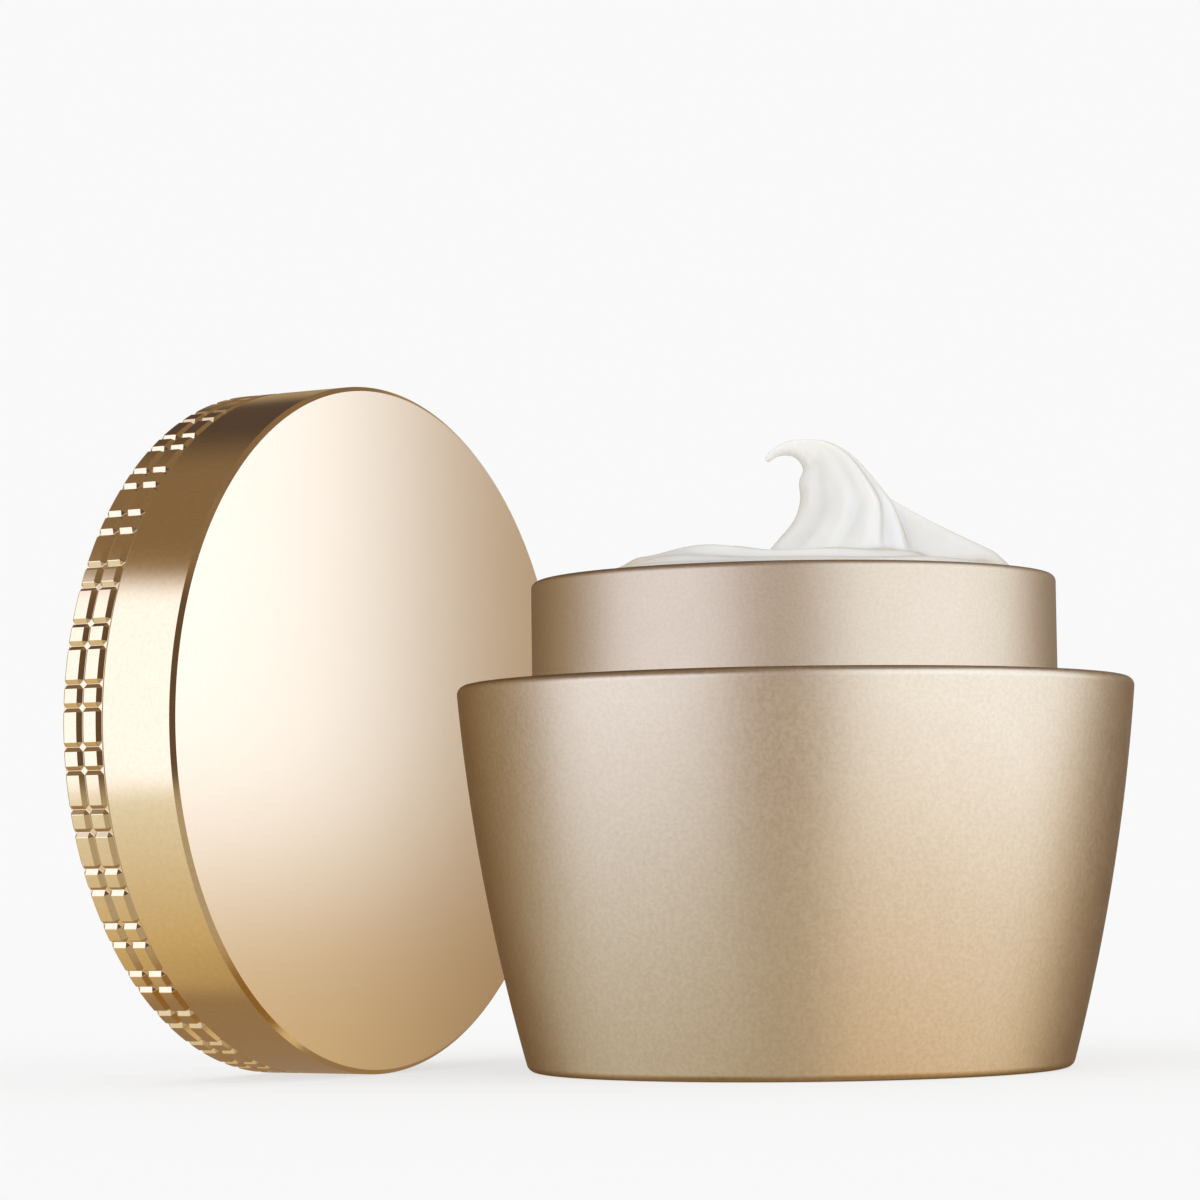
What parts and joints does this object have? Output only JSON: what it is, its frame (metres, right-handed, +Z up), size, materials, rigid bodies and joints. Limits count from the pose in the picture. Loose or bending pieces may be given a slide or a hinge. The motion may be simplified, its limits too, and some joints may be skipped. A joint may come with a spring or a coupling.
{
  "type": "cosmetic cream jar",
  "caption": "Open tapered gold cream jar with a neck collar and a cream swirl, its round push-on lid standing on edge beside it.",
  "frame": {"origin": "the jar's axis on the flat face that the jar stands on", "axes": "+Z up along the jar's axis, +X to the right towards the side away from the standing lid, +Y away from the front"},
  "size_m": [0.1063, 0.07, 0.071],
  "materials": {
    "satin_gold": "satin anodised champagne gold with a fine grain",
    "polished_gold": "polished gold anodised, nearly a mirror",
    "white_plastic": "moulded white polypropylene",
    "cream": "soft glossy white cream",
    "foam": "closed-cell foam wad"
  },
  "bodies": {
    "jar": {"outer_jar": "satin_gold", "inner_cup": "white_plastic", "collar": "satin_gold", "base_plate": "white_plastic", "cream_fill": "cream", "cream_swirl": "cream"},
    "disc": {"sealing_disc": "white_plastic"},
    "lid": {"lid_shell": "polished_gold", "grip_ring": "polished_gold", "inner_cap": "white_plastic", "liner": "foam"}
  },
  "joints": [
    {"name": "lid_swing", "type": "hinge", "parent": "jar", "child": "disc", "pos_m": [-0.03299, 0.01025, 0.06583], "axis": [0.1388, 0.937, -0.3205], "range_deg": [0, 263.43], "deforming": ["cream_swirl"]},
    {"name": "lid_push", "type": "slide", "parent": "disc", "child": "lid", "axis": [-0.8813, 0.4726, 0], "range_m": [0, 0.01015]}
  ]
}
